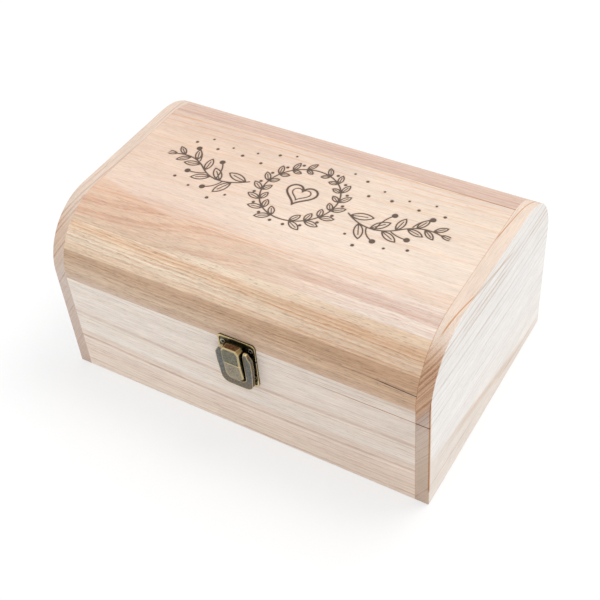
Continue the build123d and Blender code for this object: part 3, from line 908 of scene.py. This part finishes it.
carved_top = carved_board()
burnt_wood = sanded_wood("sanded_paulownia_top_burnt", [top_board], drawing=True)
carved_top.data.materials.append(burnt_wood)
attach(carved_top, "lid")
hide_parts("lid_top_board")
nodes["lid_top_board"].data.materials.clear()
nodes["lid_top_board"].data.materials.append(sanded_wood("sanded_paulownia_top", [top_board]))


# ------------------------------------------------------------------ metal


socket_radius = 1.1  # mm, of the disc of painted shade in the middle of a screw head
socket_blur = 0.3  # mm, either side of that radius


def antique_brass(name, faces, worn, hidden, roughness, wear, **changes):
    """Brass-plated steel, blackened and then tumbled: faces clouded olive and grey with patina, edges
    rubbed back to bright brass over the wear width, in mm, and hollows that ambient occlusion darkens
    to nearly black, partly blackening left in them and partly painted shade. creases are rubbed
    bright where a height in mm lies close to its mark, and dirt_lines darken to painted shade there.
    zones are other colours past a start; the catch's is a painted reflection of
    the floor on its lower facet. bevels are facets that lean between two main directions, and
    tops gives the faces that look up painted light, a highlight on the lever and a
    reflection of the wood on the catch: each takes its own colour. shade is how far, in mm, a hollow
    darkens. sockets are the middles of screw heads, where a black disc of painted shade fills
    the cross recess."""
    marks = {
        "creases": [],
        "dirt_lines": [],
        "sockets": [],
        "zones": [],
        "bevels": None,
        "tops": None,
        "shade": 2.4,
        **changes,
    }
    material, tree = start_material(name)
    coordinates = add(tree, "TexCoord")
    place = add(tree, "VectorMath", {0: coordinates.outputs["Object"], "Scale": 1 / MM}, operation="SCALE")
    geometry = add(tree, "NewGeometry")
    scuffs = add(tree, "TexNoise", {"Vector": place, "Scale": 0.8, "Detail": 4.0, "Roughness": 0.7})
    patina = add(tree, "TexNoise", {"Vector": place, "Scale": 0.28, "Detail": 3.0})

    def near_mark(direction, mark, half_width):
        """1 where the height along a direction is close to a mark, and 0 past its half width."""
        height = add(tree, "VectorMath", {0: place, 1: direction}, operation="DOT_PRODUCT")
        off = add(tree, "Math", {0: height, 1: mark}, operation="SUBTRACT")
        off = add(tree, "Math", {0: off}, operation="ABSOLUTE")
        return add(tree, "MapRange", {0: off, 1: half_width, 2: 0.5 * half_width})

    # edges: a wide rounded normal leans away from the true one near an edge
    wide = add(tree, "Bevel", {"Radius": wear * MM}, samples=8)
    lean = add(tree, "VectorMath", {0: wide, 1: geometry.outputs["Normal"]}, operation="DOT_PRODUCT")
    scuffed = add(tree, "MapRange", {0: scuffs, 1: 0.3, 2: 0.7, 3: -0.02, 4: 0.02})
    lean = add(tree, "Math", {0: lean, 1: scuffed}, operation="ADD")
    edge = add(tree, "MapRange", {0: lean, 1: 0.985, 2: 0.94})
    rubbed = add(tree, "MapRange", {0: patina, 1: 0.35, 2: 0.6, 3: 0.62, 4: 1.0})
    for crease in marks["creases"]:
        edge = add(tree, "Math", {0: edge, 1: near_mark(*crease)}, operation="MAXIMUM")
    edge = add(tree, "Math", {0: edge, 1: rubbed}, operation="MULTIPLY")

    clouded = add(tree, "MapRange", {0: patina, 1: 0.38, 2: 0.62})
    colour = add(tree, "Mix", {0: clouded, 6: linear(faces[0]), 7: linear(faces[1])}, data_type="RGBA")
    # other colours past a start; the catch's zone is a painted reflection of the floor
    for direction, start, blend, tint in marks["zones"]:
        reach = add(tree, "VectorMath", {0: place, 1: direction}, operation="DOT_PRODUCT")
        past = add(tree, "MapRange", {0: reach, 1: start, 2: start + blend, 4: 0.8})
        colour = add(tree, "Mix", {0: past, 6: colour, 7: linear(tint)}, data_type="RGBA")
    # painted light on faces that look up: a highlight on the lever, a reflection of the wood on the catch
    if marks["tops"]:
        facing = add(tree, "VectorMath", {0: geometry.outputs["Normal"], 1: UP}, operation="DOT_PRODUCT")
        upward = add(tree, "MapRange", {0: facing, 1: 0.45, 2: 0.8})
        colour = add(tree, "Mix", {0: upward, 6: colour, 7: linear(marks["tops"])}, data_type="RGBA")
    speckle = add(tree, "MapRange", {0: scuffs, 1: 0.34, 2: 0.66, 3: 0.42, 4: 1.5})
    colour = add(tree, "VectorMath", {0: colour, "Scale": speckle}, operation="SCALE")
    if marks["bevels"]:
        facing = add(tree, "VectorMath", {0: geometry.outputs["Normal"]}, operation="ABSOLUTE")
        parts = add(tree, "SeparateXYZ", {0: facing})
        main = add(tree, "Math", {0: parts.outputs[0], 1: parts.outputs[1]}, operation="MAXIMUM")
        main = add(tree, "Math", {0: main, 1: parts.outputs[2]}, operation="MAXIMUM")
        facet = add(tree, "MapRange", {0: main, 1: 0.95, 2: 0.88, 4: 0.9})
        colour = add(tree, "Mix", {0: facet, 6: colour, 7: linear(marks["bevels"])}, data_type="RGBA")
    colour = add(tree, "Mix", {0: edge, 6: colour, 7: linear(worn)}, data_type="RGBA")
    # painted shade: ambient occlusion darkens hollows towards the near-black colour, over the blackening
    # left in them
    openness = add(tree, "AmbientOcclusion", {"Distance": marks["shade"] * MM}, samples=8)
    hollow = add(tree, "MapRange", {0: openness.outputs["AO"], 1: 0.84, 2: 0.42})
    # painted shade along lines, such as the gap where two plates meet
    for dirt_line in marks["dirt_lines"]:
        hollow = add(tree, "Math", {0: hollow, 1: near_mark(*dirt_line)}, operation="MAXIMUM")
    # painted shade: a black disc over the cross recess of each screw head
    for middle in marks["sockets"]:
        off = add(tree, "VectorMath", {0: place, 1: middle}, operation="DISTANCE")
        outside = socket_radius + socket_blur
        inside = socket_radius - socket_blur
        filled = add(tree, "MapRange", {0: off, 1: outside, 2: inside})
        hollow = add(tree, "Math", {0: hollow, 1: filled}, operation="MAXIMUM")
    colour = add(tree, "Mix", {0: hollow, 6: colour, 7: linear(hidden)}, data_type="RGBA")
    dull = add(tree, "MapRange", {0: scuffs, 1: 0.3, 2: 0.7, 3: roughness - 0.06, 4: roughness + 0.1})
    polished = add(tree, "Mix", {0: edge, 2: dull, 3: roughness - 0.1})
    rounded = add(tree, "Bevel", {"Radius": 0.3 * MM}, samples=8)
    bump = add(
        tree, "Bump", {"Strength": 0.25, "Distance": 0.05 * MM, "Height": scuffs, "Normal": rounded}
    )
    shader = add(
        tree,
        "BsdfPrincipled",
        {"Base Color": colour, "Roughness": polished, "Metallic": 1.0, "Normal": bump},
    )
    add(tree, "OutputMaterial", {"Surface": shader})
    return material


# places in mm, from the middle of the box and from its foot
catch_ridge = 79.8
parting_height = 81.0
rim_front = 99.2  # front of the plates' raised rim
latch_middle = 7.0
latch_screw_aside = 11.0
latch_screw_heights = (64.0, 90.0)
hinge_middle = 85.0
hinge_screw_aside = 10.0
hinge_screw_rise = 7.0
hinge_screw_front = 99.0
lever_brass = antique_brass(
    "antique_brass_lever",
    ("#666A6E", "#6F6B5C"),
    "#CFB988",
    "#17100A",
    0.34,
    1.2,
    zones=[(-UP, -66.0, 6.0, "#776B59")],
    # painted highlight on the up-facing ends of the arms
    tops="#CDB98D",
)
catch_brass = antique_brass(
    "antique_brass_catch",
    ("#7A7663", "#66665A"),
    "#E0CD9B",
    "#1A110B",
    0.36,
    1.1,
    creases=[(UP, catch_ridge, 0.55)],
    # painted reflection of the floor, lighter on the lower facet below the ridge
    zones=[(-UP, -catch_ridge, 1.5, "#9C907C")],
    bevels="#BFAD80",
    # painted reflection of the warm wood on the up-facing roof
    tops="#7E5F49",
)
plate_brass = antique_brass(
    "antique_brass_plates",
    ("#6B6450", "#57523F"),
    "#D3BD88",
    "#0C0805",
    0.36,
    0.6,
    creases=[(-BACK, rim_front, 0.3)],
    # painted shade in the gap where the hook plate meets the base plate, at the parting line
    dirt_lines=[(UP, parting_height, 0.7)],
)
sides = (-1, 1)
latch_screw_heads = [
    Vector((latch_middle + side * latch_screw_aside, -rim_front, height))
    for side in sides
    for height in latch_screw_heights
]
hinge_screw_heads = [
    Vector(
        (
            hinge * hinge_middle + side * hinge_screw_aside,
            hinge_screw_front,
            parting_height + leaf * hinge_screw_rise,
        )
    )
    for hinge in sides
    for side in sides
    for leaf in sides
]
screw_brass = antique_brass(
    "antique_brass_screws",
    ("#5A503E", "#463E30"),
    "#F8EED0",
    "#060403",
    0.3,
    1.0,
    shade=0.3,
    # painted shade over each screw's cross recess
    sockets=latch_screw_heads + hinge_screw_heads,
)
hinge_brass = antique_brass(
    "antique_brass_hinges",
    ("#7A735C", "#676150"),
    "#E2CB8E",
    "#17100A",
    0.36,
    0.5,
)
# a metal node takes the finish of the first of these words in its name
metal_of = {
    "screw": screw_brass,
    "rivet": screw_brass,
    "pin": screw_brass,
    "lever": lever_brass,
    "catch": catch_brass,
    "plate": plate_brass,
    "leaf": hinge_brass,
}
for node in nodes:
    for part, metal in metal_of.items():
        if part in node and not node.startswith(("base_", "lid_")):
            nodes[node].data.materials.clear()
            nodes[node].data.materials.append(metal)
            break


# ------------------------------------------------------------------ floor, light and camera


paper_glow = 0.55  # share of the floor's own white that shows
studio_level = 0.89  # at which colours render about as they are written


def seen_rays(tree):
    """1 for light that reaches the eye straight, off a gloss or through glass, and 0 for light that
    falls on the box."""
    rays = add(tree, "LightPath")
    straight = rays.outputs["Is Camera Ray"]
    off_gloss = rays.outputs["Is Glossy Ray"]
    through_glass = rays.outputs["Is Transmission Ray"]
    seen = add(tree, "Math", {0: straight, 1: off_gloss}, operation="MAXIMUM")
    return add(tree, "Math", {0: seen, 1: through_glass}, operation="MAXIMUM")


def white_paper(name):
    """Matt white paper: it takes the box's shadow, and its own white shows a little brighter to the
    eye and in reflections than it lights the box."""
    material, tree = start_material(name)
    paper = add(tree, "BsdfDiffuse", {"Color": linear("#F6F6F6")})
    share = add(tree, "Math", {0: seen_rays(tree), 1: paper_glow}, operation="MULTIPLY")
    white = add(tree, "Emission", {"Color": (1, 1, 1, 1), "Strength": 1.0})
    surface = add(tree, "MixShader", {0: share, 1: paper, 2: white})
    add(tree, "OutputMaterial", {"Surface": surface})
    return material


half_floor = 4000.0 * MM
corners = ((-1, -1), (1, -1), (1, 1), (-1, 1))
floor_mesh = bpy.data.meshes.new("floor")
floor_mesh.from_pydata(
    [(along * half_floor, back * half_floor, 0) for along, back in corners], [], [(0, 1, 2, 3)]
)
floor_mesh.materials.append(white_paper("matt_white_paper"))
floor = bpy.data.objects.new("floor", floor_mesh)
bpy.context.scene.collection.objects.link(floor)


def white_studio(name, level):
    """Even pale light from all round, at a level, that itself looks plain white."""
    world = bpy.data.worlds.new(name)
    world.use_nodes = True
    tree = world.node_tree
    tree.nodes.clear()
    light = add(tree, "Background", {"Color": (1, 1, 1, 1), "Strength": level})
    white = add(tree, "Background", {"Color": (1, 1, 1, 1), "Strength": 1.0})
    surface = add(tree, "MixShader", {0: seen_rays(tree), 1: light, 2: white})
    add(tree, "OutputWorld", {"Surface": surface})
    return world


bpy.context.scene.world = white_studio("white_studio", studio_level)


def softbox(name, place, target, size, watts):
    """Square area lamp at a place, turned to a target."""
    lamp = bpy.data.lights.new(name, "AREA")
    lamp.size = size * MM
    lamp.energy = watts
    made = bpy.data.objects.new(name, lamp)
    made.location = Vector(place) * MM
    made.rotation_euler = (Vector(target) - Vector(place)).to_track_quat("-Z", "Y").to_euler()
    bpy.context.scene.collection.objects.link(made)


softbox("key", place=(1000, 1300, 3300), target=(0, 0, 60), size=1600, watts=45.0)

camera = bpy.data.cameras.new("camera")
camera.sensor_width = 36.0
camera.lens = 66.573
camera.shift_x = -0.00693
camera.shift_y = 0.0094
camera.clip_end = 20.0
eye = bpy.data.objects.new("camera", camera)
eye.location = Vector((335.456, -501.980, 626.399)) * MM
eye.rotation_euler = [math.radians(angle) for angle in (45.61488, 3.81528, 30.17393)]
bpy.context.scene.collection.objects.link(eye)
bpy.context.scene.camera = eye
bpy.context.scene.view_settings.view_transform = "Standard"
